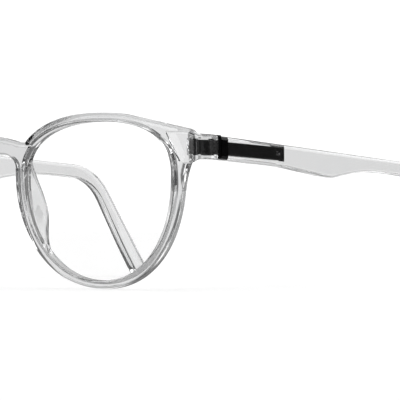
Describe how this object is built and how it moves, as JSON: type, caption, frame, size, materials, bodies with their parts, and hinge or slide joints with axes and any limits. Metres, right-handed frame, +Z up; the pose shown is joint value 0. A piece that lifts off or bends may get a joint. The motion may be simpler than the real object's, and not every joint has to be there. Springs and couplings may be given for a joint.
{
  "type": "round spectacles",
  "caption": "Clear round spectacles with moulded nose pads, clear lenses and sprung black temple hinges that fold.",
  "frame": {"origin": "under the middle of the open spectacles, on the surface that they stand on", "axes": "+X to the wearer's left, +Y from the front towards the temple tips, +Z up"},
  "size_m": [0.1298, 0.147, 0.048],
  "materials": {
    "clear_plastic": "polished, water-clear moulded plastic",
    "lens": "polished, clear and untinted",
    "black_hinge": "satin black over metal",
    "steel": "plain bright steel"
  },
  "bodies": {
    "front": {"front_frame": "clear_plastic", "lens_left": "lens", "lens_right": "lens", "front_leaf_left": "black_hinge", "front_leaf_right": "black_hinge", "hinge_screw_left": "steel", "hinge_screw_right": "steel"},
    "left_tongue": {"spring_tongue_left": "steel", "rod_nut_left": "steel", "tongue_spring_left": "steel"},
    "left_temple": {"temple_left": "clear_plastic", "spring_housing_left": "black_hinge", "lock_bush_left": "steel", "housing_screw_left": "steel"},
    "right_tongue": {"spring_tongue_right": "steel", "rod_nut_right": "steel", "tongue_spring_right": "steel"},
    "right_temple": {"temple_right": "clear_plastic", "spring_housing_right": "black_hinge", "lock_bush_right": "steel", "housing_screw_right": "steel"}
  },
  "joints": [
    {"name": "temple_fold_left", "type": "hinge", "parent": "front", "child": "left_tongue", "pos_m": [0.0594, -0.05516, 0.03832], "axis": [0, 0, 1], "range_deg": [0, 90]},
    {"name": "tongue_slide_left", "type": "slide", "parent": "left_tongue", "child": "left_temple", "axis": [0, 0.999, -0.0436], "range_m": [0, 0.0015], "stiffness_N_per_m": 2000, "springref_m": -0.0005, "deforming": ["tongue_spring_left"]},
    {"name": "temple_fold_right", "type": "hinge", "parent": "front", "child": "right_tongue", "pos_m": [-0.0594, -0.05516, 0.03832], "axis": [0, 0, -1], "range_deg": [0, 80]},
    {"name": "tongue_slide_right", "type": "slide", "parent": "right_tongue", "child": "right_temple", "axis": [0, 0.999, -0.0436], "range_m": [0, 0.0015], "stiffness_N_per_m": 2000, "springref_m": -0.0005, "deforming": ["tongue_spring_right"]}
  ]
}
